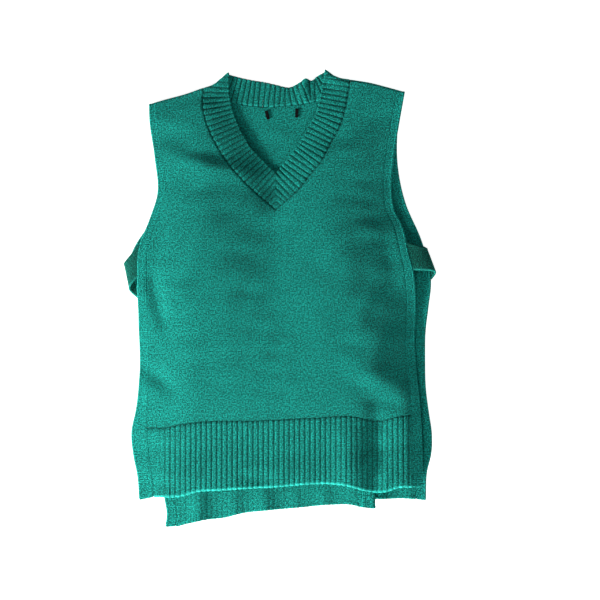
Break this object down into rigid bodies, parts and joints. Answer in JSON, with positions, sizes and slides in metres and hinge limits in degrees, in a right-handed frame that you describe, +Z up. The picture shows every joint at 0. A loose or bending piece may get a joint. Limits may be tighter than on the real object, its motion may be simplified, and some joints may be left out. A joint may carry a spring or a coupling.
{
  "type": "knitted sweater vest",
  "caption": "Sleeveless knitted vest with a ribbed V neck, ribbed hems, a longer back and open sides joined by short straps, laid flat on its back.",
  "frame": {"origin": "on the surface the vest lies on, under the middle of its outline", "axes": "+X across the vest towards the viewer's right, +Y from the hem towards the neck, +Z up out of the surface it lies on"},
  "size_m": [0.4515, 0.6619, 0.0249],
  "materials": {
    "green_knit": "matte plain knit",
    "green_rib": "matte rib knit",
    "green_edging": "matte fine knit edging",
    "black_label": "matte woven tape"
  },
  "bodies": {
    "root": {"front_panel": "green_knit", "back_panel": "green_knit", "front_hem_rib": "green_rib", "back_hem_rib": "green_rib", "neckband_left": "green_rib", "neckband_right": "green_rib", "front_left_band": "green_edging", "front_right_band": "green_edging", "back_left_band": "green_edging", "back_right_band": "green_edging", "left_tab": "green_edging", "right_tab": "green_edging", "label_stub_left": "black_label", "label_stub_right": "black_label"}
  },
  "joints": []
}
